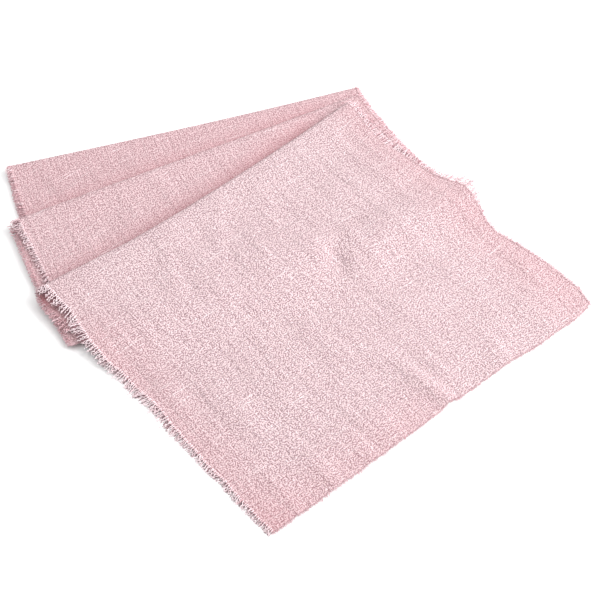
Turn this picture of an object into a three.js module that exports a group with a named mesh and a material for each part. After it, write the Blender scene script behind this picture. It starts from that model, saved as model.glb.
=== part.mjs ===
import * as THREE from 'three';

// Folded table runner: a narrow cotton gauze cloth, pleated back and forth into a fan of seven
// sections. The top section is long: it rides over the pleats and falls to the table in front.
// X runs across the cloth along its free end, Y from the free end to the back folds, Z up.

// Driving dimensions in millimetres
const CLOTH_THICKNESS = 1;
const LAYER_STEP = 1.6;
const TOP_HEIGHT = 10.7;
const LEDGE_HEIGHT = 7.5;
const COLUMNS = 26;

const FRINGE_GAP = 0.3;
const FRINGE_BACKING = 1.4;
const FRINGE_LENGTH = 7.4;
const FRINGE_SHORT = 3;
const FRINGE_TIP = 0.5;
const FRINGE_DROOP = 0.2;
const FRINGE_END_INSET = 0.15;
const STRAND_WIDTH = 2.4;
const STRAND_SLANT = 1.1;
const SHORTEST_STRAND = 0.75;

const REST_HEIGHT = CLOTH_THICKNESS / 2;

// Lines that cross the cloth, from its left edge to its right. bow is how far the line's middle lies
// behind a straight one.
const LINES = {
  freeEnd: { leftX: 9, leftY: 0, rightX: 347, rightY: 0, bow: 0 },
  backFold1: { leftX: 6.5, leftY: 300, rightX: 352, rightY: 314, bow: -5 },
  frontFold1: { leftX: 1, leftY: 254, rightX: 351, rightY: 229, bow: 3 },
  backFold2: { leftX: 32, leftY: 386, rightX: 370, rightY: 320, bow: 0 },
  frontFold2: { leftX: -5, leftY: 249, rightX: 351, rightY: 157, bow: 0 },
  backFold3: { leftX: 64, leftY: 456, rightX: 377, rightY: 328, bow: 2 },
  frontFold3: { leftX: -2, leftY: 259, rightX: 347, rightY: 170, bow: 0 },
  hiddenEnd: { leftX: 51, leftY: 386, rightX: 372, rightY: 312, bow: 0 },
};

// Sections in order from the free end. layer counts from the table; rows are the steps along the
// section; leftBow and rightBow push its long edges outwards at mid-length.
const SECTIONS = [
  { name: 'top', from: 'freeEnd', to: 'backFold1', layer: 6, rows: 30, leftBow: 0, rightBow: 0 },
  { name: 'second', from: 'backFold1', to: 'frontFold1', layer: 5, rows: 5, leftBow: 0, rightBow: 2 },
  { name: 'third', from: 'frontFold1', to: 'backFold2', layer: 4, rows: 10, leftBow: 0, rightBow: 0 },
  { name: 'fourth', from: 'backFold2', to: 'frontFold2', layer: 3, rows: 6, leftBow: 7, rightBow: -2 },
  { name: 'fifth', from: 'frontFold2', to: 'backFold3', layer: 2, rows: 9, leftBow: 2, rightBow: 0 },
  { name: 'sixth', from: 'backFold3', to: 'frontFold3', layer: 1, rows: 5, leftBow: 6, rightBow: -2 },
  { name: 'seventh', from: 'frontFold3', to: 'hiddenEnd', layer: 0, rows: 4, leftBow: 4, rightBow: -2 },
];

// Folds between the sections. out is +1 for a fold at the back and -1 for one at the front; round is how
// far its turn reaches past the flat layers. The soft roll lifts the upper layer by puffLeft at the left
// end of the fold and puffRight at the right, as far from the fold as reachLeft and reachRight.
const FOLDS = [
  { line: 'backFold1', out: 1, round: 4.5, puffLeft: 6.4, puffRight: 3.6, reachLeft: 32, reachRight: 26 },
  { line: 'frontFold1', out: -1, round: 1.2, puffLeft: 0, puffRight: 0, reachLeft: 20, reachRight: 20 },
  { line: 'backFold2', out: 1, round: 3.2, puffLeft: 4.6, puffRight: 0, reachLeft: 30, reachRight: 3 },
  { line: 'frontFold2', out: -1, round: 1.6, puffLeft: 0, puffRight: 4.6, reachLeft: 18, reachRight: 22 },
  { line: 'backFold3', out: 1, round: 2.4, puffLeft: 2.8, puffRight: 0, reachLeft: 24, reachRight: 3 },
  { line: 'frontFold3', out: -1, round: 1.2, puffLeft: 0, puffRight: 0, reachLeft: 20, reachRight: 20 },
];
const FOLD_TURN_ANGLES = [45, 0, -45];

// How far the top section's long edges stand out from straight ones, by distance from the free end.
const TOP_LEFT_EDGE = [
  { y: 0, out: 0 },
  { y: 75, out: -1.5 },
  { y: 150, out: -0.5 },
  { y: 214, out: 2 },
  { y: 262, out: 0 },
  { y: 300, out: 0 },
];
const TOP_RIGHT_EDGE = [
  { y: 0, out: 0 },
  { y: 55, out: 0.5 },
  { y: 112, out: -4 },
  { y: 136, out: 2.5 },
  { y: 156, out: 15 },
  { y: 180, out: 13 },
  { y: 206, out: 1 },
  { y: 240, out: -7.5 },
  { y: 272, out: -6 },
  { y: 314, out: 0 },
];

// The top section drops in two steps, each in front of a front fold.
const DROPS = [
  { line: 'frontFold1', clearance: 4, length: 40, height: TOP_HEIGHT - LEDGE_HEIGHT },
  { line: 'frontFold2', clearance: 5, length: 38, height: LEDGE_HEIGHT - REST_HEIGHT },
];

// Creases of the top section: x and y of the middle, angle of its run from the X axis in degrees,
// half its run, half its width, and its height, where a trough is negative.
const CREASES = [
  { x: 190, y: 18, angle: 99, run: 46, width: 9, height: 4.2 },
  { x: 30, y: 8, angle: 88, run: 34, width: 11, height: 1.8 },
  { x: 70, y: 6, angle: 92, run: 38, width: 11, height: 2.2 },
  { x: 104, y: 6, angle: 96, run: 30, width: 10, height: 2.2 },
  { x: 136, y: 6, angle: 95, run: 32, width: 10, height: 2 },
  { x: 256, y: 8, angle: 86, run: 40, width: 13, height: 2.6 },
  { x: 312, y: 10, angle: 92, run: 40, width: 13, height: 2.4 },
  { x: 340, y: 52, angle: 80, run: 34, width: 12, height: 2.4 },
  { x: 120, y: 28, angle: 1, run: 120, width: 13, height: 1 },
  { x: 292, y: 34, angle: -3, run: 60, width: 13, height: 1.1 },
  { x: 50, y: 106, angle: 92, run: 44, width: 15, height: 2.4 },
  { x: 24, y: 165, angle: 84, run: 30, width: 12, height: 1.6 },
  { x: 100, y: 110, angle: 84, run: 42, width: 13, height: 1.4 },
  { x: 155, y: 112, angle: 97, run: 46, width: 13, height: 1.5 },
  { x: 230, y: 96, angle: 82, run: 44, width: 14, height: 1.6 },
  { x: 290, y: 104, angle: 10, run: 60, width: 15, height: 1.5 },
  { x: 146, y: 236, angle: 148, run: 66, width: 13, height: 2 },
  { x: 206, y: 202, angle: 133, run: 30, width: 13, height: 1.8 },
  { x: 222, y: 171, angle: 36, run: 28, width: 13, height: -3 },
  { x: 262, y: 160, angle: 32, run: 34, width: 13, height: 2.2 },
  { x: 104, y: 262, angle: 62, run: 38, width: 12, height: 1.6 },
  { x: 160, y: 268, angle: 58, run: 32, width: 12, height: 1.5 },
  { x: 208, y: 262, angle: 64, run: 34, width: 11, height: 1.2 },
  { x: 262, y: 236, angle: 82, run: 40, width: 11, height: 1.3 },
  { x: 292, y: 226, angle: 84, run: 36, width: 11, height: 1.2 },
  { x: 322, y: 222, angle: 80, run: 36, width: 11, height: 1.4 },
];

// Fringe: strands for each row of a section, along its left and right edges. The top section's fringe is
// in two parts, before and behind foot, the row where the edge leaves the table.
const FRINGES = [
  { section: 'top', left: 2, right: 2, leftFoot: 20, rightFoot: 11 },
  { section: 'second', left: 2, right: 3 },
  { section: 'third', left: 2, right: 1 },
  { section: 'fourth', left: 2, right: 1 },
  { section: 'fifth', left: 2, right: 1 },
  { section: 'sixth', left: 2, right: 1 },
  { section: 'seventh', left: 2, right: 1 },
];
const STRANDS_PER_COLUMN = 2;

const clothMaterial = new THREE.MeshStandardMaterial({ color: 0xebccd0, roughness: 0.95, metalness: 0 });
const fringeMaterial = new THREE.MeshStandardMaterial({ color: 0xf3dade, roughness: 0.95, metalness: 0 });

// Values between 0 and 1 in a fixed uneven order.
function unevenness(index, series) {
  const value = Math.sin(index * 12.9898 + series * 78.233) * 43758.5453;
  return value - Math.floor(value);
}

function smoothStep(value) {
  const t = Math.min(Math.max(value, 0), 1);
  return t * t * (3 - 2 * t);
}

function mix(a, b, t) {
  return a + (b - a) * t;
}

// A smooth curve through the rows of a table of y and out.
function edgeOffset(table, y) {
  const last = table.length - 1;
  const next = Math.min(Math.max(table.findIndex((row) => row.y >= y), 1), last);
  const before = table[next - 1];
  const after = table[next];
  return mix(before.out, after.out, smoothStep((y - before.y) / (after.y - before.y)));
}

// Place on a line across the cloth, where share runs from 0 at the left edge to 1 at the right.
function lineAt(name, share) {
  const line = LINES[name];
  const x = mix(line.leftX, line.rightX, share);
  const y = mix(line.leftY, line.rightY, share) + line.bow * 4 * share * (1 - share);
  return new THREE.Vector2(x, y);
}

// Direction at right angles to a line, towards the back.
function lineBack(name) {
  const line = LINES[name];
  return new THREE.Vector2(line.leftY - line.rightY, line.rightX - line.leftX).normalize();
}

function lineShareAt(name, x) {
  const line = LINES[name];
  return Math.min(Math.max((x - line.leftX) / (line.rightX - line.leftX), 0), 1);
}

function lineYAt(name, x) {
  return lineAt(name, lineShareAt(name, x)).y;
}

// Lift of the upper layer by the soft roll of a fold.
function puffAt(fold, x, y) {
  const share = smoothStep(lineShareAt(fold.line, x));
  const distance = lineYAt(fold.line, x) - fold.out * fold.round - y;
  const reach = mix(fold.reachLeft, fold.reachRight, share);
  return mix(fold.puffLeft, fold.puffRight, share) * Math.exp(-((distance / reach) ** 2));
}

function creaseHeight(x, y) {
  let height = 0;
  for (const crease of CREASES) {
    const angle = THREE.MathUtils.degToRad(crease.angle);
    const dx = x - crease.x;
    const dy = y - crease.y;
    const along = (dx * Math.cos(angle) + dy * Math.sin(angle)) / crease.run;
    const across = (dy * Math.cos(angle) - dx * Math.sin(angle)) / crease.width;
    height += crease.height * Math.exp(-across * across - along * along);
  }
  return height;
}

// The top section rests on the pleats below it, over the soft roll of the second front fold, and on the
// table in front of them.
function topHeightAt(x, y) {
  let height = REST_HEIGHT;
  for (const drop of DROPS) {
    const foot = lineYAt(drop.line, x) - drop.clearance - drop.length;
    height += drop.height * smoothStep((y - foot) / drop.length);
  }
  for (const name of ['backFold1', 'frontFold2']) {
    height += puffAt(foldAt(name), x, y);
  }
  return Math.max(REST_HEIGHT, height + creaseHeight(x, y));
}

function foldAt(name) {
  return FOLDS.find((fold) => fold.line === name);
}

// Where a section's flat part starts or ends: at the line, drawn in by the roundness of a fold.
function sectionEndAt(name, share) {
  const place = lineAt(name, share);
  const fold = foldAt(name);
  return fold ? place.addScaledVector(lineBack(name), -fold.out * fold.round) : place;
}

// Middle of the cloth in a section, where along runs from 0 to 1.
function sectionPoint(section, share, along) {
  const start = sectionEndAt(section.from, share);
  const end = sectionEndAt(section.to, share);
  const x = mix(start.x, end.x, along);
  const y = mix(start.y, end.y, along);
  if (section.name === 'top') {
    const out = mix(-edgeOffset(TOP_LEFT_EDGE, y), edgeOffset(TOP_RIGHT_EDGE, y), share);
    return new THREE.Vector3(x + out, y, topHeightAt(x + out, y));
  }
  const out = mix(-section.leftBow, section.rightBow, share) * 4 * along * (1 - along);
  const height = REST_HEIGHT + LAYER_STEP * section.layer;
  const fold = foldAt(section.to);
  const puff = fold ? puffAt(fold, x + out, y) : 0;
  return new THREE.Vector3(x + out, y, height + puff);
}

// Middle of the cloth on the round turn of a fold, from 90 degrees on the upper layer to -90 on the lower.
function foldPoint(fold, upper, lower, share, degrees) {
  const angle = THREE.MathUtils.degToRad(degrees);
  const upperPoint = sectionPoint(upper, share, 1);
  const lowerPoint = sectionPoint(lower, share, 0);
  const reach = fold.out * fold.round * Math.cos(angle);
  const outwards = lineBack(fold.line).multiplyScalar(reach);
  return new THREE.Vector3(
    upperPoint.x + outwards.x,
    upperPoint.y + outwards.y,
    mix(lowerPoint.z, upperPoint.z, (1 + Math.sin(angle)) / 2),
  );
}

// The whole cloth as rows of middle points, with the first and last row of each section.
function clothRows() {
  const rows = [];
  const spans = {};
  const shares = Array.from({ length: COLUMNS + 1 }, (_, column) => column / COLUMNS);
  SECTIONS.forEach((section, index) => {
    const first = rows.length;
    for (let row = 0; row <= section.rows; row += 1) {
      rows.push(shares.map((share) => sectionPoint(section, share, row / section.rows)));
    }
    spans[section.name] = { first, last: rows.length - 1 };
    if (index < FOLDS.length) {
      const below = SECTIONS[index + 1];
      for (const degrees of FOLD_TURN_ANGLES) {
        rows.push(shares.map((share) => foldPoint(FOLDS[index], section, below, share, degrees)));
      }
    }
  });
  return { rows, spans };
}

function clothNormal(rows, row, column) {
  const before = rows[Math.max(row - 1, 0)][column];
  const after = rows[Math.min(row + 1, rows.length - 1)][column];
  const left = rows[row][Math.max(column - 1, 0)];
  const right = rows[row][Math.min(column + 1, COLUMNS)];
  const across = new THREE.Vector3().subVectors(right, left);
  const along = new THREE.Vector3().subVectors(after, before);
  return across.cross(along).normalize();
}

function geometryOf(points, faces) {
  const geometry = new THREE.BufferGeometry();
  const positions = points.flatMap((point) => [point.x, point.y, point.z]);
  geometry.setAttribute('position', new THREE.Float32BufferAttribute(positions, 3));
  geometry.setIndex(faces.flat());
  geometry.computeVertexNormals();
  return geometry;
}

function quad(a, b, c, d) {
  return [[a, b, c], [a, c, d]];
}

// A closed sheet: the upper and lower faces stand half a thickness from the middle points.
function sheetGeometry(rows) {
  const points = [];
  const faces = [];
  for (const side of [0.5, -0.5]) {
    rows.forEach((row, index) => {
      row.forEach((middle, column) => {
        const offset = clothNormal(rows, index, column).multiplyScalar(side * CLOTH_THICKNESS);
        points.push(middle.clone().add(offset));
      });
    });
  }
  const width = COLUMNS + 1;
  const lower = rows.length * width;
  const lastRow = rows.length - 1;
  for (let row = 0; row < lastRow; row += 1) {
    for (let column = 0; column < COLUMNS; column += 1) {
      const a = row * width + column;
      const b = a + 1;
      const c = b + width;
      const d = a + width;
      faces.push(...quad(a, b, c, d), ...quad(lower + a, lower + d, lower + c, lower + b));
    }
    const left = row * width;
    const right = left + COLUMNS;
    faces.push(...quad(left, left + width, lower + left + width, lower + left));
    faces.push(...quad(right, lower + right, lower + right + width, right + width));
  }
  for (let column = 0; column < COLUMNS; column += 1) {
    const end = lastRow * width + column;
    faces.push(...quad(column, lower + column, lower + column + 1, column + 1));
    faces.push(...quad(end, end + 1, lower + end + 1, lower + end));
  }
  return geometryOf(points, faces);
}

// A path along the cloth's edge, where whole numbers are its own points.
function edgePath(points) {
  const last = points.length - 1;
  return (position) => {
    const wanted = Math.min(Math.max(position, 0), last);
    const before = Math.min(Math.floor(wanted), last - 1);
    return points[before].clone().lerp(points[before + 1], wanted - before);
  };
}

// A fringe: a narrow backing strip just off the cloth's edge, with strands that stand apart and taper to
// an upright tip. side is +1 where the strands point to the right of the path and -1 to its left.
function fringeGeometry(edge, side, perRow, length, series) {
  const path = edgePath(edge);
  const rows = edge.length - 1;
  const strands = rows * perRow;
  const points = [];
  const faces = [];
  const outwardAt = (position) => {
    const along = path(position + 0.5).sub(path(position - 0.5));
    return new THREE.Vector3(along.y, -along.x, 0).normalize().multiplyScalar(side);
  };
  const besideEdge = (position, distance) => path(position).addScaledVector(outwardAt(position), distance);
  const addPair = (place, halfHeight) => {
    for (const z of [-halfHeight, halfHeight]) {
      points.push(new THREE.Vector3(place.x, place.y, place.z + z));
    }
    return points.length - 2;
  };
  const face = (a, b, c) => faces.push(side > 0 ? [a, b, c] : [a, c, b]);
  const wall = (a, b, c, d) => {
    face(a, b, c);
    face(a, c, d);
  };
  const stations = [];
  for (let strand = 0; strand <= strands; strand += 1) {
    const position = Math.min(Math.max(strand / perRow, FRINGE_END_INSET), rows - FRINGE_END_INSET);
    const inner = addPair(besideEdge(position, FRINGE_GAP), REST_HEIGHT);
    const outer = addPair(besideEdge(position, FRINGE_GAP + FRINGE_BACKING), REST_HEIGHT);
    stations.push({ position, inner, outer });
  }
  for (let strand = 0; strand < strands; strand += 1) {
    const start = stations[strand];
    const end = stations[strand + 1];
    const slotLength = path(end.position).distanceTo(path(start.position));
    const perMillimetre = (end.position - start.position) / slotLength;
    const rootPosition = start.position + STRAND_WIDTH * perMillimetre;
    const root = addPair(besideEdge(rootPosition, FRINGE_GAP + FRINGE_BACKING), REST_HEIGHT);
    const slant = (2 * unevenness(strand, series) - 1) * STRAND_SLANT;
    const tipPosition = start.position + (STRAND_WIDTH / 2 + slant) * perMillimetre;
    const reach = length * mix(SHORTEST_STRAND, 1, unevenness(strand, series + 1));
    const tipPlace = besideEdge(tipPosition, FRINGE_GAP + FRINGE_BACKING + reach);
    tipPlace.z = Math.max(0, tipPlace.z - REST_HEIGHT - FRINGE_DROOP) + FRINGE_TIP / 2;
    const tip = addPair(tipPlace, FRINGE_TIP / 2);
    wall(start.inner, start.inner + 1, end.inner + 1, end.inner);
    wall(root, end.outer, end.outer + 1, root + 1);
    wall(start.outer, tip, tip + 1, start.outer + 1);
    wall(tip, root, root + 1, tip + 1);
    face(start.outer, root, tip);
    face(start.outer + 1, tip + 1, root + 1);
    face(start.inner, root, start.outer);
    face(start.inner, end.inner, root);
    face(end.inner, end.outer, root);
    face(start.inner + 1, start.outer + 1, root + 1);
    face(start.inner + 1, root + 1, end.inner + 1);
    face(end.inner + 1, root + 1, end.outer + 1);
  }
  const first = stations[0];
  const last = stations[strands];
  wall(first.inner, first.outer, first.outer + 1, first.inner + 1);
  wall(last.outer, last.inner, last.inner + 1, last.outer + 1);
  return geometryOf(points, faces);
}

const runner = new THREE.Group();

function addPiece(name, geometry, material) {
  const mesh = new THREE.Mesh(geometry, material);
  mesh.name = name;
  runner.add(mesh);
}

function addFringe(name, edge, side, perRow, length) {
  const series = runner.children.length;
  addPiece(name, fringeGeometry(edge, side, perRow, length, series), fringeMaterial);
}

function addEdgeFringe(name, rows, side, perRow) {
  const edge = rows.map((row) => row[side > 0 ? COLUMNS : 0]);
  const towardsBack = edge[edge.length - 1].y > edge[0].y;
  addFringe(name, edge, towardsBack ? side : -side, perRow, FRINGE_LENGTH);
}

function addFringes(rows, spans) {
  for (const fringe of FRINGES) {
    const span = spans[fringe.section];
    for (const [label, side] of [['left', -1], ['right', 1]]) {
      const name = `fringe_${label}_${fringe.section}`;
      const sectionRows = rows.slice(span.first, span.last + 1);
      const foot = fringe[`${label}Foot`];
      if (foot) {
        addEdgeFringe(`${name}_front`, sectionRows.slice(0, foot + 1), side, fringe[label]);
        addEdgeFringe(`${name}_back`, sectionRows.slice(foot), side, fringe[label]);
      } else {
        addEdgeFringe(name, sectionRows, side, fringe[label]);
      }
    }
  }
  addFringe('fringe_free_end', rows[0], 1, STRANDS_PER_COLUMN, FRINGE_SHORT);
}

const { rows, spans } = clothRows();
addPiece('runner_cloth', sheetGeometry(rows), clothMaterial);
addFringes(rows, spans);

// The origin is the middle of the runner's outline on the table.
const outline = new THREE.Box3().setFromObject(runner);
const middle = outline.getCenter(new THREE.Vector3());
runner.position.set(-middle.x, -middle.y, -outline.min.z);

export default runner;
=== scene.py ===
"""Folded table runner of pink crinkled cotton gauze with frayed edges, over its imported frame.

Sizes are in millimetres unless a name says otherwise. Places are measured as in the part's own
source: x across the cloth along its free end, y from there to the back folds, z up from the table.
"""

import logging
import math
from dataclasses import dataclass, field
from enum import Enum

import bpy
import numpy as np
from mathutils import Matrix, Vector


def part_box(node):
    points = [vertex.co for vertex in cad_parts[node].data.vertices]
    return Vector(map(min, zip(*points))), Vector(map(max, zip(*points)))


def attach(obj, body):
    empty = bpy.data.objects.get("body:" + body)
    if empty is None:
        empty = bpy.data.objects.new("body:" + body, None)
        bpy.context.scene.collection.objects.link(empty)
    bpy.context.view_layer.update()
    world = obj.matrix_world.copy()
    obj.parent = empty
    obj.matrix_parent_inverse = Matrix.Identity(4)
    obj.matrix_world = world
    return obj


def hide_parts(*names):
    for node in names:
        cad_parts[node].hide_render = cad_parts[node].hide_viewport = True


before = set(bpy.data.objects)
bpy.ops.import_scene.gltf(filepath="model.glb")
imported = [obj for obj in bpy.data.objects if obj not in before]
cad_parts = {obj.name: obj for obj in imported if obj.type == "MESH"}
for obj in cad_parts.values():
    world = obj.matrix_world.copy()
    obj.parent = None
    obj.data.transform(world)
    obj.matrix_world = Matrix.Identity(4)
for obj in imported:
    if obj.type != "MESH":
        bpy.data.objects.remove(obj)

LOG = logging.getLogger("table_runner")

MM = 0.001
BODY = "root"
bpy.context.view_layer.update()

Array = np.ndarray
Colour = tuple[float, float, float, float]
Piece = bpy.types.Object
Material = bpy.types.Material
Socket = bpy.types.NodeSocket
Tree = bpy.types.NodeTree


class Side(Enum):
    """The two long edges of the cloth, with the column of the weave that each one is."""

    LEFT = 0
    RIGHT = -1

    def column(self, inside: int = 0) -> int:
        """Return the column of the weave that lies so many places inside the edge."""
        return self.value + (inside if self is Side.LEFT else -inside)


# ---- smooth curves and uneven fields


def smooth_step(value: Array) -> Array:
    """Return an S curve from 0 to 1 over values from 0 to 1."""
    t = np.clip(value, 0.0, 1.0)
    return t * t * (3.0 - 2.0 * t)


def mix(a: Array, b: Array, t: Array) -> Array:
    """Return the value a share t of the way from a to b."""
    return a + (b - a) * t


def bell(*offsets: Array) -> Array:
    """Return a bell curve, which is 1 where every offset is 0."""
    return np.exp(-sum(offset * offset for offset in offsets))


def hump(share: Array) -> Array:
    """Return a hump that is 0 at shares of 0 and 1, and 1 half way."""
    return 4 * share * (1 - share)


def soft_floor(height: Array, floor: float, softness: float) -> Array:
    """Keep a height above a floor, with a soft turn where it meets it.

    Args:
        height: Wanted heights.
        floor: Lowest height allowed.
        softness: How far above the floor the turn begins.

    Returns:
        Heights that are never below the floor.
    """
    return floor + softness * np.logaddexp(0.0, (height - floor) / softness)


@dataclass(frozen=True)
class UnevenField:
    """A smooth uneven field over the flat cloth, from -1 to 1, with cells of a given size."""

    cell_across: float
    cell_along: float
    seed: int
    cells: int = 512
    gain: float = 1.9

    def at(self, across: Array, along: Array) -> Array:
        """Return the field at places on the flat cloth.

        Args:
            across: Distances across the cloth.
            along: Distances along the cloth.

        Returns:
            Values between about -1 and 1.
        """
        table = np.random.default_rng(self.seed).uniform(-1.0, 1.0, (self.cells, self.cells))
        column, column_share = self._cell(across / self.cell_across)
        row, row_share = self._cell(along / self.cell_along)
        total = np.zeros(np.broadcast(across, along).shape)
        for i, row_weight in enumerate(self._weights(row_share)):
            for j, column_weight in enumerate(self._weights(column_share)):
                values = table[(row + i) % self.cells, (column + j) % self.cells]
                total = total + row_weight * column_weight * values
        return total * self.gain

    @staticmethod
    def _cell(place: Array) -> tuple[Array, Array]:
        """Split a place into its whole cell and the share inside it."""
        whole = np.floor(place).astype(int)
        return whole, place - whole

    @staticmethod
    def _weights(t: Array) -> tuple[Array, Array, Array, Array]:
        """Return the weights of a cubic spline.

        Args:
            t: Shares inside the cells.

        Returns:
            The weights of the four nearest values.
        """
        return (
            (1 - t) ** 3 / 6,
            (3 * t**3 - 6 * t**2 + 4) / 6,
            (-3 * t**3 + 3 * t**2 + 3 * t + 1) / 6,
            t**3 / 6,
        )


def new_piece(
    name: str,
    points: Array,
    faces: list[list[int]],
    place: Vector,
    layer: tuple[str, Array],
    value: tuple[str, Array],
) -> Piece:
    """Build a piece that keeps coordinates and a value of its own at every point.

    Args:
        name: The piece's name.
        points: Its points, in the part's own coordinates.
        faces: Its faces.
        place: How far the part's own coordinates are moved, in metres.
        layer: The name of its coordinates, and the coordinates by point.
        value: The name of its value, and the value by point.

    Returns:
        The piece.
    """
    mesh = bpy.data.meshes.new(name)
    mesh.from_pydata(points * MM + np.array(place), [], faces)
    mesh.update()
    corners = np.empty(len(mesh.loops), int)
    mesh.loops.foreach_get("vertex_index", corners)
    coordinates = mesh.uv_layers.new(name=layer[0])
    coordinates.data.foreach_set("uv", layer[1][corners].astype(np.float32).ravel())
    attribute = mesh.attributes.new(name=value[0], type="FLOAT", domain="POINT")
    attribute.data.foreach_set("value", value[1].astype(np.float32))
    piece = bpy.data.objects.new(name, mesh)
    bpy.context.collection.objects.link(piece)
    return piece


# ---- how the cloth is folded


@dataclass(frozen=True)
class CrossLine:
    """A line across the cloth from its left edge to its right.

    It is bowed towards the back at its middle, and its left end flares towards the back.
    """

    left_x: float
    left_y: float
    right_x: float
    right_y: float
    bow: float = 0.0
    flare: float = 0.0
    flare_share: float = 0.19

    def at(self, share: Array) -> Array:
        """Return plan places on the line.

        Args:
            share: Shares of the line, from 0 at the left to 1 at the right.

        Returns:
            Places with x and y in the last axis.
        """
        x = mix(self.left_x, self.right_x, share)
        y = mix(self.left_y, self.right_y, share) + self.bow * hump(share)
        y = y + self.flare * bell(share / self.flare_share)
        return np.stack([x, y], axis=-1)

    def back(self) -> Array:
        """Return the plan direction at right angles to the line, towards the back."""
        normal = np.array([self.left_y - self.right_y, self.right_x - self.left_x])
        return normal / np.linalg.norm(normal)

    def share_at(self, x: Array) -> Array:
        """Return the share of the line at an x, held between 0 and 1."""
        return np.clip((x - self.left_x) / (self.right_x - self.left_x), 0.0, 1.0)

    def y_at(self, x: Array) -> Array:
        """Return the line's y at an x."""
        return self.at(self.share_at(x))[..., 1]


@dataclass(frozen=True)
class Fold:
    """A turn of the cloth. out is +1 at the back and -1 at the front."""

    line: CrossLine
    out: int
    round: float
    puff_left: float = 0.0
    puff_right: float = 0.0
    reach_left: float = 20.0
    reach_right: float = 20.0

    def flat_end(self, share: Array) -> Array:
        """Return where the flat layers end, drawn in from the line by the roundness of the turn."""
        return self.line.at(share) - self.line.back() * self.out * self.round

    def puff_at(self, x: Array, y: Array) -> Array:
        """Return how far the soft roll of the fold lifts its upper layer.

        Args:
            x: Distances across the cloth.
            y: Distances from the free end.

        Returns:
            Lifts, largest beside the fold.
        """
        share = smooth_step(self.line.share_at(x))
        distance = self.line.y_at(x) - self.out * self.round - y
        reach = mix(self.reach_left, self.reach_right, share)
        return mix(self.puff_left, self.puff_right, share) * bell(distance / reach)


@dataclass(frozen=True)
class SideCut:
    """One side of a section: how far it stands out of its folds' ends, its bow and its threads.

    comb runs from 0 for a soft rosy fringe to 1 for pale threads, with painted shade in the gaps.
    Where the section starts, the cloth flares further out and its threads are shorter.
    """

    out: float
    bow: float
    thread: float
    comb: float
    flare: float = 0.0
    flare_share: float = 0.35

    def flare_at(self, along: Array) -> Array:
        """Return how much further out the cloth stands at a share of the section's length."""
        return self.flare * bell(along / self.flare_share)


@dataclass(frozen=True)
class Section:
    """A length of cloth between two folds. layer counts from the table, rose is its painted shade.
    """

    name: str
    layer: int
    rows: int
    relief: float
    rose: float
    left: SideCut
    right: SideCut


@dataclass(frozen=True)
class Drop:
    """A step down of the top section in front of a front fold."""

    line: CrossLine
    clearance: float
    length: float
    height: float

    def at(self, x: Array, y: Array) -> Array:
        """Return the height that the step adds at places of the top section."""
        foot = self.line.y_at(x) - self.clearance - self.length
        return self.height * smooth_step((y - foot) / self.length)


@dataclass(frozen=True)
class Crease:
    """A soft ridge, or a trough of negative height. angle is its run's, in degrees from x."""

    x: float
    y: float
    angle: float
    run: float
    width: float
    height: float

    def at(self, x: Array, y: Array) -> Array:
        """Return the height that the crease adds to the top section.

        Args:
            x: Distances across the cloth.
            y: Distances from the free end.

        Returns:
            Heights, below 0 in a trough.
        """
        turn = math.radians(self.angle)
        dx = x - self.x
        dy = y - self.y
        along = (dx * math.cos(turn) + dy * math.sin(turn)) / self.run
        across = (dy * math.cos(turn) - dx * math.sin(turn)) / self.width
        return self.height * bell(across, along)


@dataclass(frozen=True)
class Profile:
    """A value that changes evenly from station to station along an edge."""

    stations: tuple[tuple[float, float], ...]

    def at(self, along: Array) -> Array:
        """Return the value at places along the edge."""
        places, values = np.array(self.stations).T
        return np.interp(along, places, values)


HIDDEN_END = CrossLine(51, 386, 372, 312)
BACK_1 = Fold(CrossLine(4, 300, 352, 314, -5, 6), 1, 3.4, 6.2, 3.8, 34, 26)
FRONT_1 = Fold(CrossLine(1, 254, 351, 229, 3), -1, 1.2)
BACK_2 = Fold(CrossLine(32, 390, 370, 320), 1, 2.4, 4.4, 1.0, 20, 8)
FRONT_2 = Fold(CrossLine(-5, 243, 351, 157), -1, 1.6, 0, 4.6, 18, 22)
BACK_3 = Fold(CrossLine(64, 456, 377, 332, -2.5), 1, 2.0, 3.0, 0.8, 18, 8)
FRONT_3 = Fold(CrossLine(-2, 259, 347, 170), -1, 1.2)
FOLDS = (BACK_1, FRONT_1, BACK_2, FRONT_2, BACK_3, FRONT_3)

SECTIONS = (
    Section("top", 6, 130, 0.24, 0, SideCut(0, 0, 0, 1), SideCut(0, 0, 0, 1)),
    Section("second", 5, 8, 0.1, 3.0, SideCut(5.5, 4, 8.5, 0.2, 6), SideCut(3, 2, 5, 0.3)),
    Section("third", 4, 30, 0.3, 1, SideCut(4, 0, 6, 0.7), SideCut(3, 0, 5, 0.5)),
    Section("fourth", 3, 16, 0.1, 2, SideCut(9.5, 4, 4, 0), SideCut(2, -3, 4, 0)),
    Section("fifth", 2, 46, 0.3, 1.5, SideCut(4, 2, 6, 0.3), SideCut(4, -7, 3.5, 0.3)),
    Section("sixth", 1, 20, 0.1, 2, SideCut(4, 6, 4, 0), SideCut(3, -7, 3.5, 0)),
    Section("seventh", 0, 14, 0.0, 1, SideCut(2, 4, 4, 0), SideCut(-1, -2, 3.5, 0)),
)

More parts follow.
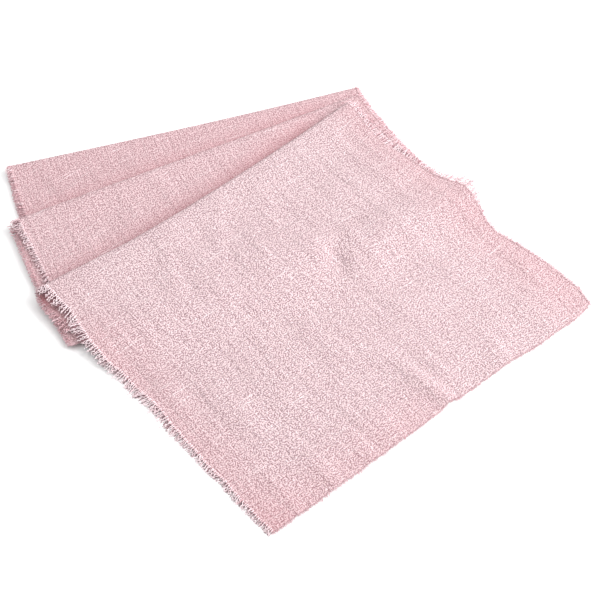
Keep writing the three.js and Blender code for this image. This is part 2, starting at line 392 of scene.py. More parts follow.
TOP_LEFT = Profile(
    ((0, 4.5), (38, 3.1), (56, 4.1), (74, 2.8), (103, 2.7), (122, 3.6), (153, 6.2), (169, 4.3))
    + ((195, 2.6), (211, -0.8), (228, -0.9), (245, 0), (269, 3.4), (287, 2.6), (303, 1.5))
)
TOP_RIGHT = Profile(
    ((0, 356), (18, 360.4), (40, 361.4), (62, 360), (87, 357.6), (110, 352.2), (125, 354.2))
    + ((140, 359), (153, 361.8), (162, 363.6), (172, 361), (186, 355.8), (203, 352), (221, 350))
    + ((238, 347), (256, 344.6), (283, 349), (306, 352.4), (317, 354.6))
)
FREE_END = Profile(
    ((0, -0.5), (60, -1.2), (120, -1), (178, -0.4), (190, 0.8), (203, -0.8), (262, -1.2))
    + ((284, -3.8), (335, -4.3), (352, -1.5), (362, -0.5))
)
TOP_THREADS = {
    Side.LEFT: Profile(
        ((0, 6.6), (60, 6.4), (100, 7), (130, 9), (156, 10.5), (200, 9.5), (300, 9))
    ),
    Side.RIGHT: Profile(
        ((0, 2.2), (18, 3.4), (60, 3.2), (125, 3.4), (145, 7), (160, 13))
        + ((186, 12), (203, 9), (300, 6.5))
    ),
}
TOP_COMB = {
    Side.LEFT: Profile(((0, 0.8), (300, 1))),
    Side.RIGHT: Profile(((0, 0.45), (130, 0.4), (180, 0.55), (225, 0.75), (300, 0.6))),
}

# x, y, angle, run, width and height of each crease
CREASE_ROWS = (
    (114, 120, 92, 60, 3.2, 0.7), (120, 50, 96, 40, 3.2, 0.9), (206, 92, 90, 50, 3.2, 0.7),
    (207, 34, 88, 32, 6.5, 1.1), (197, 30, 95, 32, 7, -0.7), (160, 264, 62, 22, 5, 1.0),
    (172, 222, 75, 24, 6, 1.1), (150, 240, 68, 34, 5, -0.9), (103, 240, 74, 34, 5, -0.9),
    (220, 173, 58, 20, 9, -2.5), (190, 18, 99, 46, 9, 3.2), (30, 8, 88, 34, 11, 1.4),
    (70, 6, 92, 38, 11, 1.7), (104, 6, 96, 30, 10, 1.7), (136, 6, 95, 32, 10, 1.5),
    (256, 8, 86, 40, 13, 2.0), (312, 10, 92, 40, 13, 1.8), (340, 52, 80, 34, 12, 1.8),
    (120, 28, 1, 120, 13, 0.8), (292, 34, -3, 60, 13, 0.8), (50, 106, 92, 44, 15, 1.8),
    (24, 165, 84, 30, 12, 1.2), (100, 110, 84, 42, 13, 1.1), (155, 112, 97, 46, 13, 1.2),
    (230, 96, 82, 44, 14, 1.2), (290, 104, 10, 60, 15, 1.2), (146, 236, 148, 66, 13, 1.5),
    (206, 202, 133, 30, 13, 1.4), (214, 174, 38, 24, 12, -2.0), (256, 160, 32, 34, 14, 1.2),
    (104, 262, 62, 38, 12, 1.2), (160, 268, 58, 32, 12, 1.2), (208, 262, 64, 34, 11, 0.9),
    (262, 236, 82, 40, 11, 1.0), (292, 226, 84, 36, 11, 0.9), (322, 222, 80, 36, 11, 1.1),
)
CREASES = tuple(Crease(*row) for row in CREASE_ROWS)


@dataclass(frozen=True)
class Spot:
    """A soft spot of the cloth, or a band where one of its reaches is endless."""

    most: float
    x: float = 0.0
    y: float = 0.0
    reach_x: float = math.inf
    reach_y: float = math.inf

    def at(self, x: Array, y: Array) -> Array:
        """Return the spot's value at places of the cloth."""
        return self.most * bell((x - self.x) / self.reach_x, (y - self.y) / self.reach_y)


@dataclass(frozen=True)
class Loss:
    """A share of a value that is lost softly from a start over a run."""

    share: float
    start: float
    run: float

    def kept_at(self, place: Array) -> Array:
        """Return the share of the value that is left at places."""
        return 1 - self.share * smooth_step((place - self.start) / self.run)


@dataclass(frozen=True)
class CoverShade:
    """The painted shade of a section, counted from the free end, behind the fold that covers it."""

    fold: Fold
    section: int
    left: float
    right: float
    reach: float
    loss: Loss = Loss(0.8, 0.84, 0.12)

    def at(self, x: Array, y: Array) -> Array:
        """Return the painted shade that the cover adds.

        Args:
            x: Distances across the cloth.
            y: Distances from the free end.

        Returns:
            Painted shade, deepest at the fold.
        """
        share = self.fold.line.share_at(x)
        behind = np.maximum(y - self.fold.line.y_at(x), 0)
        most = mix(self.left, self.right, share) * self.loss.kept_at(share)
        return most * bell(behind / self.reach)


# Where the lengthwise wrinkles are deeper, and where painted shade deepens the pink or lessens it
DEEP_WRINKLES = Spot(1, 300, 235, 80, 70)
LEFT_SHADE, LEFT_SHADE_LOSS = Spot(1.4, reach_x=34), Loss(0.7, 230, 40)
RIGHT_SHADE = Spot(1.4, x=353, reach_x=32)
FRONT_SHADE, FRONT_SHADE_LOSS = Spot(1.1, reach_y=30), Loss(1, 150, 80)
SECOND_SHADE_LOSS, OPEN_ROLL_SHADE = Loss(0.75, 300, 40), Spot(3, -7, 299, 10, 12)
COVER_SHADES = (CoverShade(BACK_1, 2, 1.5, 3.4, 17), CoverShade(BACK_2, 4, 1.4, 2, 13))


@dataclass(frozen=True)
class FrayedEdge:
    """An edge of the cloth: its places, the places just inside it, and its threads at each.

    slope_kept is the share of the cloth's slope that the threads follow.
    """

    places: Array
    inside: Array
    lengths: Array
    combs: Array
    slope_kept: float = 0.5

    def at(self, travel: Array) -> tuple[Array, Array, Array, Array]:
        """Return what the threads at some distances along the edge start from.

        Args:
            travel: Distances along the edge.

        Returns:
            The roots, the outward directions, the lengths and the combs.
        """
        travelled = self.travelled()
        root = np.stack([np.interp(travel, travelled, self.places[:, k]) for k in range(3)], -1)
        inner = np.stack([np.interp(travel, travelled, self.inside[:, k]) for k in range(3)], -1)
        out = root - inner
        out[:, 2] *= self.slope_kept
        out /= np.linalg.norm(out, axis=-1, keepdims=True)
        length = np.interp(travel, travelled, self.lengths)
        return root, out, length, np.interp(travel, travelled, self.combs)

    def travelled(self) -> Array:
        """Return the distance along the edge of each of its places."""
        steps = np.linalg.norm(np.diff(self.places, axis=0), axis=-1)
        return np.concatenate([[0.0], np.cumsum(steps)])


@dataclass
class GauzeCloth:
    """The whole runner, one thin closed sheet folded into seven sections."""

    thickness: float = 1.0
    layer_step: float = 1.6
    top_height: float = 10.7
    ledge_height: float = 7.5
    drop_clearances: tuple[float, float] = (4.0, 5.0)
    drop_length: float = 60.0
    columns: int = 160
    turn_angles: tuple[float, ...] = (60.0, 30.0, 0.0, -30.0, -60.0)
    flat_width: float = 350.0
    flat_length: float = 1185.0
    softness: float = 0.3
    pucker: UnevenField = UnevenField(9.0, 15.0, 11)
    pucker_height: float = 0.65
    ripple: UnevenField = UnevenField(26.0, 20.0, 12)
    ripple_height: float = 0.6
    wrinkle: UnevenField = UnevenField(3.9, 110.0, 14)
    wrinkle_height: float = 0.30
    cross_wrinkle: UnevenField = UnevenField(50.0, 4.5, 15)
    cross_wrinkle_height: float = 0.14
    fade_rate: float = 8.0
    edge_wave: UnevenField = UnevenField(400.0, 9.0, 13)
    edge_wave_out: float = 0.5
    edge_inside: int = 2
    thread_in_turns: float = 0.45
    rest: float = field(init=False)
    drops: tuple[Drop, Drop] = field(init=False)
    rows: Array = field(init=False, repr=False)
    lengths: Array = field(init=False, repr=False)

    def __post_init__(self) -> None:
        """Lay out the middle of the cloth, row by row."""
        self.rest = self.thickness / 2
        upper, lower = self.drop_clearances
        self.drops = (
            Drop(FRONT_1.line, upper, self.drop_length, self.top_height - self.ledge_height),
            Drop(FRONT_2.line, lower, self.drop_length, self.ledge_height - self.rest),
        )
        self.rows = self._middle_rows()
        steps = np.linalg.norm(np.diff(self.rows, axis=0), axis=-1)
        self.lengths = np.concatenate([np.zeros((1, self.columns + 1)), np.cumsum(steps, axis=0)])

    def _section_point(self, index: int, share: Array, along: Array) -> Array:
        """Return the middle of the cloth in a section.

        Args:
            index: Which section, from the free end.
            share: Share of the width, from 0 at the left edge to 1 at the right.
            along: Share of the section's length.

        Returns:
            Places with x, y and z in the last axis.
        """
        section = SECTIONS[index]
        end = FOLDS[index].flat_end(share) if index < len(FOLDS) else HIDDEN_END.at(share)
        if section.name == "top":
            free_end = FREE_END.at(mix(TOP_LEFT.at(0), TOP_RIGHT.at(0), share))
            y = mix(free_end, end[..., 1], along)
            x = mix(TOP_LEFT.at(y), TOP_RIGHT.at(y), share)
            return np.stack([x, y, self._top_height_at(x, y)], axis=-1)
        start = FOLDS[index - 1].flat_end(share)
        x = mix(start[..., 0], end[..., 0], along)
        y = mix(start[..., 1], end[..., 1], along)
        x = x + mix(-section.left.out, section.right.out, share)
        x = x + mix(-section.left.flare_at(along), section.right.flare_at(along), share)
        x = x + mix(-section.left.bow, section.right.bow, share) * hump(along)
        z = self.rest + self.layer_step * section.layer + 0 * x
        if index < len(FOLDS):
            z = z + FOLDS[index].puff_at(x, y)
        return np.stack([x, y, z], axis=-1)

    def _top_height_at(self, x: Array, y: Array) -> Array:
        """Return the height of the top section, which falls from the pleats to the table."""
        height = self.rest + sum(form.at(x, y) for form in (*self.drops, *CREASES))
        return height + BACK_1.puff_at(x, y) + FRONT_2.puff_at(x, y)

    def _relief(self, x: Array, y: Array, amount: float) -> Array:
        """Return the fine puckers and wrinkles of the gauze, that the solids leave out.

        Args:
            x: Distances across the cloth.
            y: Distances from the free end.
            amount: The section's share of the puckers.

        Returns:
            Heights above the smooth cloth.
        """
        puckers = self.pucker_height * self.pucker.at(x, y)
        puckers = amount * (puckers + self.ripple_height * self.ripple.at(x, y))
        lengthwise = self.wrinkle_height * (1 + DEEP_WRINKLES.at(x, y)) * self.wrinkle.at(x, y)
        return puckers + lengthwise + self.cross_wrinkle_height * self.cross_wrinkle.at(x, y)

    def _middle_rows(self) -> Array:
        """Lay out the cloth from its free end to its hidden one.

        Returns:
            The middle of the cloth, as rows by columns of x, y and z.
        """
        share = np.linspace(0.0, 1.0, self.columns + 1)
        blocks = []
        for index, section in enumerate(SECTIONS):
            along = np.linspace(0.0, 1.0, section.rows + 1)[:, None]
            block = self._section_point(index, share[None, :], along)
            from_fold = np.minimum(along, 1 - along) + (index == 0) * (1 - along)
            fade = smooth_step(from_fold * self.fade_rate)
            block[..., 2] += fade * self._relief(block[..., 0], block[..., 1], section.relief)
            blocks.append(block)
            if index < len(FOLDS):
                blocks.extend(self._turn(index, share))
        rows = np.concatenate(blocks)
        rows[..., 2] = soft_floor(rows[..., 2], self.rest, self.softness)
        along = np.arange(len(rows)) * self.flat_length / len(rows)
        left, right = (
            self.edge_wave_out * self.edge_wave.at(np.full(len(rows), edge), along)[:, None]
            for edge in (0.0, self.flat_width)
        )
        rows[..., 0] += mix(-left, right, share[None, :])
        return rows

    def _turn(self, index: int, share: Array) -> list[Array]:
        """Return the rows of the round turn after a section.

        Args:
            index: Which section lies above the turn.
            share: Shares of the width.

        Returns:
            One block of a single row for each angle of the turn.
        """
        fold = FOLDS[index]
        upper = self._section_point(index, share, np.ones(1))
        lower = self._section_point(index + 1, share, np.zeros(1))
        turn = []
        for degrees in self.turn_angles:
            angle = math.radians(degrees)
            above = (1 + math.sin(angle)) / 2
            row = mix(lower, upper, above)
            row[..., :2] = mix(lower[..., :2], upper[..., :2], above**2)
            row[..., :2] += fold.line.back() * fold.out * fold.round * math.cos(angle)
            turn.append(row[None, :])
        return turn

    def frayed_edge(self, side: Side) -> FrayedEdge:
        """Return a long edge with the length and the comb of its loose threads at every row.

        Args:
            side: Which long edge.

        Returns:
            The edge.
        """
        y = self.rows[self._rows_of(0), side.column(), 1]
        lengths, combs = [TOP_THREADS[side].at(y)], [TOP_COMB[side].at(y)]
        for section in SECTIONS[1:]:
            cut = section.left if side is Side.LEFT else section.right
            along = np.linspace(0.0, 1.0, section.rows + 1)
            lengths.append(cut.thread - cut.flare_at(along))
            combs.append(cut.comb + 0 * along)
        return FrayedEdge(
            self.rows[:, side.column()],
            self.rows[:, side.column(self.edge_inside)],
            self._over_turns(lengths, self.thread_in_turns),
            self._over_turns(combs),
        )

    def _rows_of(self, index: int) -> slice:
        """Return the rows of a section, counted from the free end."""
        first = sum(section.rows + 1 + len(self.turn_angles) for section in SECTIONS[:index])
        return slice(first, first + SECTIONS[index].rows + 1)

    def _over_turns(self, sections: list[Array], kept: float = 1.0) -> Array:
        """Join the values of the sections' rows, with values for the turns between them.

        Args:
            sections: The values at each section's rows.
            kept: The share that the turns keep of the values between their sections' ends.

        Returns:
            The values at every row of the cloth.
        """
        joined = [sections[0]]
        for before, after in zip(sections, sections[1:]):
            between = np.linspace(before[-1], after[0], len(self.turn_angles) + 2)[1:-1]
            joined += [kept * between, after]
        return np.concatenate(joined)

    def _rose(self) -> Array:
        """Return the painted shade, a deeper pink, at every place of the cloth's rows.

        Returns:
            Painted shade, as rows by columns.
        """
        # Each section's rose, and the spots and covers added below, are painted shade in a deeper
        # pink
        own = self._over_turns([np.full(s.rows + 1, float(s.rose)) for s in SECTIONS])
        rose = np.repeat(own[:, None], self.columns + 1, axis=1)
        x, y = self.rows[..., 0], self.rows[..., 1]
        top, second = self._rows_of(0), self._rows_of(1)
        # Painted shade on the top section's shaded left, right and front sides, and inside the open
        # roll
        rose[top] += LEFT_SHADE.at(x[top], y[top]) * LEFT_SHADE_LOSS.kept_at(y[top])
        rose[top] += RIGHT_SHADE.at(x[top], y[top])
        rose[top] += FRONT_SHADE.at(x[top], y[top]) * FRONT_SHADE_LOSS.kept_at(x[top])
        rose[second] *= SECOND_SHADE_LOSS.kept_at(x[second])
        rose[second] += OPEN_ROLL_SHADE.at(x[second], y[second])
        for cover in COVER_SHADES:
            rows = self._rows_of(cover.section)
            rose[rows] += cover.at(x[rows], y[rows])
        return rose

    def build(self, place: Vector) -> Piece:
        """Build the cloth as one closed mesh with the flat cloth's own coordinates.

        Args:
            place: How far the part's own coordinates are moved, in metres.

        Returns:
            The cloth's object.
        """
        normals = np.cross(np.gradient(self.rows, axis=1), np.gradient(self.rows, axis=0))
        normals /= np.linalg.norm(normals, axis=-1, keepdims=True)
        offset = normals * self.thickness / 2
        points = np.concatenate([self.rows + offset, self.rows - offset]).reshape(-1, 3)
        across = np.linspace(0.0, self.flat_width, self.columns + 1)
        flat = np.stack([np.broadcast_to(across, self.lengths.shape), self.lengths], -1) * MM
        piece = new_piece(
            "runner_gauze",
            points,
            self._faces(),
            place,
            ("flat_cloth", np.tile(flat.reshape(-1, 2), (2, 1))),
            ("painted_fold_shade", np.tile(self._rose().ravel(), 2)),
        )
        bpy.context.view_layer.objects.active = piece
        piece.select_set(True)
        bpy.ops.object.shade_smooth_by_angle(angle=math.radians(60))
        piece.select_set(False)
        return piece

    def _faces(self) -> list[list[int]]:
        """Return the faces of the closed sheet.

        Returns:
            The quads of the upper and the lower face and of the edges that join them.
        """
        width = self.columns + 1
        count = len(self.rows)
        lower = count * width
        grid = np.arange(lower).reshape(count, width)
        a, b, c, d = grid[:-1, :-1], grid[:-1, 1:], grid[1:, 1:], grid[1:, :-1]
        quads = [np.stack([a, b, c, d], -1), np.stack([a, d, c, b], -1) + lower]
        left, right = grid[:, 0], grid[:, -1]
        first, last = grid[0], grid[-1]
        for edge, turned in ((left, False), (right, True), (first, True), (last, False)):
            start, end = (edge[1:], edge[:-1]) if turned else (edge[:-1], edge[1:])
            quads.append(np.stack([start, end, end + lower, start + lower], -1))
        return [face for block in quads for face in block.reshape(-1, 4).tolist()]


# ---- frayed threads


@dataclass(frozen=True)
class Tuft:
    """A spot on an edge where the loose threads are longer and curlier."""

    x: float
    y: float
    reach: float
    longer: float


TUFTS = {
    Side.LEFT: (Tuft(2, 303, 12, 1.2), Tuft(24, 388, 14, 1.5)),
    Side.RIGHT: (Tuft(362, 165, 24, 1.1),),
}
EDGE_SEEDS = {Side.LEFT: 21, Side.RIGHT: 31}
FUZZ_SEED = 41
ENDLESS_CELL = 400.0


@dataclass(frozen=True)
class ThreadLayer:
    """One layer of an edge's loose threads. tone runs from 0 for a deep painted shade to 1 for
    pale.

    Each spread is the range or the deviation of what differs from thread to thread.
    """

    pitch: float
    thread: float
    reach: float
    shortest: float
    curl: float
    lift: float
    tone: float
    points: int
    soft_tone: float = 0.55
    tone_spread: float = 0.1
    root_inside: float = 1.5
    place_spread: tuple[float, float] = (0.15, 0.85)
    lean: float = 0.3
    lean_spread: float = 0.12
    lean_cell: float = 7.0
    length_wave: float = 0.1
    length_cell: float = 17.0
    curl_spread: tuple[float, float] = (0.5, 1.3)
    curl_height: float = 0.7
    tuft_curl: float = 0.8
    droop: float = 0.5
    wave_length: float = 3.2
    wave_spread: tuple[float, float] = (0.8, 1.3)
    free_before: float = 0.8
    free_run: float = 2.5
    lowest: float = 0.6
    tip: float = 0.6

    def lines(
        self, edge: FrayedEdge, tufts: tuple[Tuft, ...], rng: np.random.Generator, seed: int
    ) -> tuple[Array, Array]:
        """Return the middle line and the tone of every thread.

        Args:
            edge: The edge that the threads stand out of.
            tufts: The edge's curlier spots.
            rng: Where the threads' differences come from.
            seed: Seed of the fields that gather the threads.

        Returns:
            An array of threads by points by x, y and z, and one of tones.
        """
        full = edge.travelled()[-1]
        count = int(full / self.pitch)
        at = (np.arange(count) + rng.uniform(*self.place_spread, count)) * full / count
        root, out, length, comb = edge.at(at)
        sideways = np.stack([-out[:, 1], out[:, 0], np.zeros(count)], -1)
        sideways /= np.linalg.norm(sideways, axis=-1, keepdims=True)

        clump = UnevenField(self.lean_cell, ENDLESS_CELL, seed).at(at, np.zeros(count))
        uneven = UnevenField(self.length_cell, ENDLESS_CELL, seed + 1).at(at, np.zeros(count))
        length = length * self.reach * rng.uniform(self.shortest, 1.0, count)
        length = length * (1 + self.length_wave * (uneven - 0.5))
        curl = self.curl * rng.uniform(*self.curl_spread, count)
        for tuft in tufts:
            near = bell(np.hypot(root[:, 0] - tuft.x, root[:, 1] - tuft.y) / tuft.reach)
            length *= 1 + (tuft.longer - 1) * near
            curl *= 1 + self.tuft_curl * near
        lean = self.lean * clump + rng.normal(0.0, self.lean_spread, count)

        share = np.linspace(0.0, 1.0, self.points)
        travel = share[None, :] * (self.root_inside + length[:, None])
        phase = rng.uniform(0, 2 * math.pi, (count, 2))
        waves = self.wave_length * rng.uniform(*self.wave_spread, count)
        turns = 2 * math.pi * travel / waves[:, None]
        free = smooth_step((travel - self.root_inside + self.free_before) / self.free_run)
        across = lean[:, None] * free * travel
        across = across + curl[:, None] * free * np.sin(turns + phase[:, :1])
        height = self.curl_height * curl[:, None] * free * np.sin(turns + phase[:, 1:])
        sink = self.droop * rng.uniform(0.0, 1.0, count)[:, None] * share[None, :] ** 2
        lines = root[:, None, :] + out[:, None, :] * (travel - self.root_inside)[..., None]
        lines = lines + sideways[:, None, :] * across[..., None]
        lines[..., 2] += height - sink + self.lift
        lines[..., 2] = np.maximum(lines[..., 2], self.thread * self.lowest)
        tone = mix(self.soft_tone, self.tone, comb) + rng.normal(0.0, self.tone_spread, count)
        return lines, np.clip(tone, 0.0, 1.0)

    def tubes(self, lines: Array) -> tuple[Array, Array, Array]:
        """Return the three-sided tubes around the threads' middle lines.

        Args:
            lines: Threads by points by x, y and z.

        Returns:
            The vertices, the quads along the threads and the triangles that close their ends.
        """
        count, points, _ = lines.shape
        along = np.gradient(lines, axis=1)
        along /= np.linalg.norm(along, axis=-1, keepdims=True)
        side = np.cross(along, np.array([0.0, 0.0, 1.0]))
        side /= np.linalg.norm(side, axis=-1, keepdims=True)
        up = np.cross(side, along)
        taper = np.linspace(1.0, self.tip, points)[None, :, None] * self.thread / 2
        rings = []
        for corner in range(3):
            angle = 2 * math.pi * corner / 3 + math.pi / 2
            rings.append(lines + taper * (math.cos(angle) * side + math.sin(angle) * up))
        vertices = np.stack(rings, axis=2).reshape(-1, 3)
        grid = np.arange(count * points * 3).reshape(count, points, 3)
        after = np.roll(grid, -1, axis=2)
        quads = np.stack([grid[:, :-1], grid[:, 1:], after[:, 1:], after[:, :-1]], -1)
        ends = np.concatenate([grid[:, 0, :], grid[:, -1, ::-1]])
        return vertices, quads.reshape(-1, 4), ends


@dataclass
class FrayedThreads:
    """The loose curly threads along one edge of the cloth, joined into one mesh."""

    name: str
    layers: tuple[ThreadLayer, ...]
    seed: int
    tufts: tuple[Tuft, ...] = ()

    def build(self, edge: FrayedEdge, place: Vector) -> Piece:
        """Build the threads of an edge.

        Args:
            edge: The edge that the threads stand out of.
            place: How far the part's own coordinates are moved, in metres.

        Returns:
            The threads' object.
        """
        rng = np.random.default_rng(self.seed)
        points, faces, runs, tones = [], [], [], []
        first = 0
        for number, layer in enumerate(self.layers):
            lines, tone = layer.lines(edge, self.tufts, rng, self.seed + 1 + 2 * number)
            vertices, quads, ends = layer.tubes(lines)
            points.append(vertices)
            faces += (quads + first).tolist() + (ends + first).tolist()
            first += len(vertices)
            count = len(lines)
            each = np.repeat(np.arange(count) / count, layer.points * 3)
            share = np.tile(np.repeat(np.linspace(0.0, 1.0, layer.points), 3), count)
            runs.append(np.stack([each, share], -1))
            tones.append(np.repeat(tone, layer.points * 3))
        piece = new_piece(
            self.name,
            np.concatenate(points),
            faces,
            place,
            ("thread_run", np.concatenate(runs)),
            ("thread_tone", np.concatenate(tones)),
        )
        piece.data.shade_smooth()
        return piece


# ---- finishes


MULTIPLY_ADD = {"operation": "MULTIPLY_ADD"}
WAVER_CELLS = 260.0
WAVER_REACH = (0.0012, 0.0012, 0.0)


class NodeBench:
    """A small helper that adds and joins the nodes of one material or node group."""

    def __init__(self, tree: Tree) -> None:
        """Keep the tree that the nodes go into."""
        self.tree = tree

    def add(
        self, kind: str, settings: dict[str, object], *values: object, **inputs: object
    ) -> bpy.types.Node:
        """Add a node.

        Args:
            kind: The node's type name.
            settings: Its properties.
            values: Values or output sockets for its first inputs, in their order.
            inputs: Values or output sockets by input name, with _ for a space.

        Returns:
            The node.
        """
        node = self.tree.nodes.new(kind)
        for name, value in settings.items():
            setattr(node, name, value)
        for socket, value in zip(node.inputs, values):
            self.feed(socket, value)
        self.fill(node, **inputs)
        return node

    def fill(self, node: bpy.types.Node, **inputs: object) -> None:
        """Set or join the inputs of a node, by name with _ for a space."""
        for name, value in inputs.items():
            self.feed(node.inputs[name.replace("_", " ")], value)

    def feed(self, socket: Socket, value: object) -> None:
        """Join an output to a socket, or set the socket's own value.

        Args:
            socket: The input socket.
            value: An output socket or a value.
        """
        if isinstance(value, Socket):
            self.tree.links.new(value, socket)
        else:
            socket.default_value = value

    def sum_of(self, *terms: tuple[Socket, float]) -> Socket:
        """Add up several outputs.

        Args:
            terms: Each output with its weight.

        Returns:
            The weighted sum.
        """
        total: object = 0.0
        for output, weight in terms:
            node = self.add("ShaderNodeMath", MULTIPLY_ADD, output, weight, total)
            total = node.outputs[0]
        return total

    def tint(self, share: Socket, low: object, high: object) -> Socket:
        """Mix two colours.

        Args:
            share: The share of the second.
            low: The first colour, or an output.
            high: The second colour, or an output.

        Returns:
            The mixed colour.
        """
        node = self.add("ShaderNodeMix", {"data_type": "RGBA"}, share)
        self.feed(node.inputs[6], low)
        self.feed(node.inputs[7], high)
        return node.outputs[2]


def new_material(name: str) -> tuple[Material, NodeBench, bpy.types.Node]:
    """Start a material.

    Args:
        name: The material's name.

    Returns:
        The material, a bench for its nodes and its shader.
    """
    material = bpy.data.materials.new(name)
    material.use_nodes = True
    tree = material.node_tree
    return material, NodeBench(tree), tree.nodes["Principled BSDF"]


def new_effect(name: str, output: str, **inputs: str) -> tuple[NodeBench, object, object]:
    """Start a node group that puts out one value.

    Args:
        name: The group's name.
        output: The name of its output.
        inputs: The kind of each of its inputs.

    Returns:
        A bench for its nodes, its inputs' sockets and its output's socket.
    """
    tree = bpy.data.node_groups.new(name, "ShaderNodeTree")
    for socket, kind in inputs.items():
        tree.interface.new_socket(socket, in_out="INPUT", socket_type=f"NodeSocket{kind}")
    tree.interface.new_socket(output, in_out="OUTPUT", socket_type="NodeSocketFloat")
    given = tree.nodes.new("NodeGroupInput").outputs
    return NodeBench(tree), given, tree.nodes.new("NodeGroupOutput").inputs[output]


class YarnEffects:
    """Node groups for the effects that the gauze and its loose threads share."""

    def __init__(self) -> None:
        """Build the groups once."""
        self.streaks = self._streaks()
        self.weave = self._weave()

    @staticmethod
    def _streaks() -> Tree:
        """Build a mask of uneven streaks, stretched by a vector of cells per metre.

        Returns:
            The node group.
        """
        bench, given, mask = new_effect(
            "yarn_streaks",
            "Mask",
            Place="Vector",
            Cells="Vector",
            Detail="Float",
            Low="Float",
            High="Float",
        )
        stretch = bench.add(
            "ShaderNodeVectorMath", {"operation": "MULTIPLY"}, given["Place"], given["Cells"]
        )
        noise = bench.add(
            "ShaderNodeTexNoise", {}, Vector=stretch.outputs[0], Scale=1.0, Detail=given["Detail"]
        )
        span = bench.add(
            "ShaderNodeMapRange",
            {"interpolation_type": "SMOOTHSTEP"},
            Value=noise.outputs[0],
            From_Min=given["Low"],
            From_Max=given["High"],
        )
        bench.feed(mask, span.outputs[0])
        return bench.tree

    @staticmethod
    def _weave() -> Tree:
        """Build the height of a loose plain weave, with threads that waver.

        Returns:
            The node group.
        """
        bench, given, height = new_effect("plain_weave", "Height", Place="Vector", Threads="Float")
        place = given["Place"]
        waver = bench.add("ShaderNodeTexNoise", {}, Vector=place, Scale=WAVER_CELLS).outputs[1]
        shifted = bench.add("ShaderNodeVectorMath", MULTIPLY_ADD, waver, WAVER_REACH, place)
        waves = []
        for direction in ("X", "Y"):
            wave = bench.add(
                "ShaderNodeTexWave",
                {"bands_direction": direction},
                Vector=shifted.outputs[0],
                Scale=given["Threads"],
                Distortion=0.0,
            )
            waves.append((wave.outputs[1], 0.5))
        bench.feed(height, bench.sum_of(*waves))
        return bench.tree


@dataclass(frozen=True)
class Streaks:
    """Streaks of yarn: cells a metre across and along, the noise's detail and the mask's span.

    tone and height are the mask's shares of the yarn's tone and of the bump.
    """

    across: float
    along: float
    detail: float
    low: float
    high: float
    tone: float = 0.0
    height: float = 0.0

    def mask(self, bench: NodeBench, effects: YarnEffects, place: Socket) -> Socket:
        """Place the streaks in a material.

        Args:
            bench: The material's bench.
            effects: The shared node groups.
            place: The coordinates that the streaks lie in.

        Returns:
            The mask, from 0 to 1.
        """
        node = bench.add(
            "ShaderNodeGroup",
            {"node_tree": effects.streaks},
            Place=place,
            Cells=(self.across, self.along, 0.0),
            Detail=self.detail,
            Low=self.low,
            High=self.high,
        )
        return node.outputs[0]


FIBRE = Streaks(900, 14, 1, 0.3, 0.7)
STREAKS = {
    "grain": Streaks(910, 910, 0, 0.41, 0.59, 0.63, 0.16),
    "cross_yarn": Streaks(210, 1300, 1, 0.38, 0.66, 0.17, 0.10),
    "long_yarn": Streaks(1300, 210, 1, 0.38, 0.66, 0.10, 0.08),
    "long_lines": Streaks(520, 13, 0, 0.36, 0.64, 0.04),
    "mottle": Streaks(45, 45, 2, 0.25, 0.75, 0.02),
    "slubs": Streaks(26, 860, 1, 0.62, 0.78, 0, 0.10),
    "long_slubs": Streaks(860, 30, 1, 0.63, 0.78),
    "cross_crinkle": Streaks(36, 300, 1, 0.30, 0.72, 0, 0.32),
    "long_crinkle": Streaks(300, 30, 1, 0.30, 0.72, 0, 0.38),
}


@dataclass(frozen=True)
class GauzeFinish:
    """Pink slubby cotton gauze: a fine grain of pale and deep yarn, with pale slubs and painted
    shade.
    """

    deep: Colour = (0.20, 0.105, 0.122, 1.0)
    light: Colour = (0.855, 0.677, 0.698, 1.0)
    pale: Colour = (0.94, 0.83, 0.85, 1.0)
    # rose is the deeper pink of the painted shade in the folds and on the shaded sides
    rose: Colour = (0.46, 0.175, 0.195, 1.0)
    painted_shade_share: float = 0.14
    slub_share: float = 0.42
    long_slub_share: float = 0.2
    weave_threads: float = 285.0
    weave_height: float = 0.06
    roughness: float = 0.95
    sheen: float = 0.1
    sheen_roughness: float = 0.6
    specular: float = 0.2

    def material(self, effects: YarnEffects) -> Material:
        """Build the material.

        Args:
            effects: The shared node groups.

        Returns:
            The gauze's material.
        """
        material, bench, shader = new_material("pink_gauze")
        flat = bench.add("ShaderNodeUVMap", {"uv_map": "flat_cloth"}).outputs[0]
        rose = bench.add("ShaderNodeAttribute", {"attribute_name": "painted_fold_shade"}).outputs["Fac"]
        masks = {name: streaks.mask(bench, effects, flat) for name, streaks in STREAKS.items()}
        weave = bench.add(
            "ShaderNodeGroup", {"node_tree": effects.weave}, flat, self.weave_threads
        ).outputs[0]
        yarn = bench.sum_of(*((masks[name], s.tone) for name, s in STREAKS.items() if s.tone))
        height = bench.sum_of(
            *((masks[name], s.height) for name, s in STREAKS.items() if s.height),
            (weave, self.weave_height),
        )
        tone = bench.tint(yarn, self.deep, self.light)
        # The first tint is painted shade, a deeper pink; the slub tints are the yarn's own
        for mask, share, colour in (
            (rose, self.painted_shade_share, self.rose),
            (masks["slubs"], self.slub_share, self.pale),
            (masks["long_slubs"], self.long_slub_share, self.pale),
        ):
            tone = bench.tint(bench.sum_of((mask, share)), tone, colour)
        bump = bench.add("ShaderNodeBump", {}, Strength=1.0, Distance=MM, Height=height)
        bench.fill(
            shader,
            Base_Color=tone,
            Normal=bump.outputs[0],
            Roughness=self.roughness,
            Sheen_Weight=self.sheen,
            Sheen_Roughness=self.sheen_roughness,
            Specular_IOR_Level=self.specular,
        )
        return material


